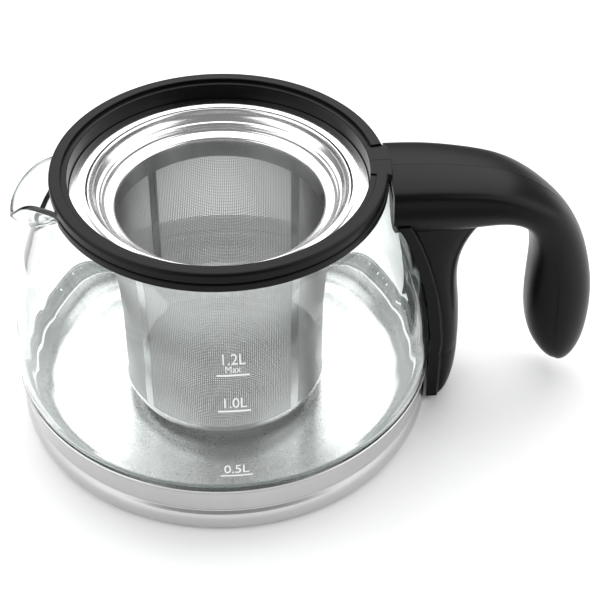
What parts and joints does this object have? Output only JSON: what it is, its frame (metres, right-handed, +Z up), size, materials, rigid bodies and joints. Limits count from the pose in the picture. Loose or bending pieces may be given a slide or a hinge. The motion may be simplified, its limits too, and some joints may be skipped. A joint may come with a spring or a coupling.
{
  "type": "teapot infuser",
  "caption": "Glass tea jug on a polished steel base, with a black collar, a pouring beak, an open hook handle and a lift-out perforated steel infuser under a funnel rim.",
  "frame": {"origin": "centre of the standing face, on the axis of the jug", "axes": "+Z up; +X from the jug's axis towards the handle, -X towards the pouring beak; the level marks face -Y"},
  "size_m": [0.2232, 0.1598, 0.1061],
  "materials": {
    "clear_glass": "clear polished borosilicate glass",
    "band_steel": "mirror-polished stainless steel",
    "pan_steel": "satin stainless steel",
    "infuser_steel": "bright spun stainless steel",
    "mesh_steel": "photo-etched perforated stainless sheet",
    "hidden_steel": "plain zinc-plated steel",
    "plate_aluminium": "turned aluminium",
    "black_plastic": "satin moulded black plastic",
    "white_print": "fired white enamel level marks",
    "seal_rubber": "black silicone rubber"
  },
  "bodies": {
    "jug": {"base_pan": "pan_steel", "base_seal": "seal_rubber", "base_skirt": "band_steel", "collar_ring": "black_plastic", "collar_skirt": "black_plastic", "glass_body": "clear_glass", "handle_back_shell": "black_plastic", "handle_core": "hidden_steel", "handle_front_shell": "black_plastic", "handle_inner": "black_plastic", "handle_screws": "hidden_steel", "heat_plate": "plate_aluminium", "neck_gasket": "seal_rubber", "screw_plugs": "black_plastic", "strut_pad": "seal_rubber"},
    "infuser": {"infuser_cup": "infuser_steel", "infuser_disc": "mesh_steel", "infuser_funnel": "infuser_steel", "infuser_seam": "infuser_steel", "infuser_wall": "mesh_steel"}
  },
  "joints": [
    {"name": "infuser_lift", "type": "slide", "parent": "jug", "child": "infuser", "axis": [0, 0, 1], "range_m": [0, 0.12]}
  ]
}
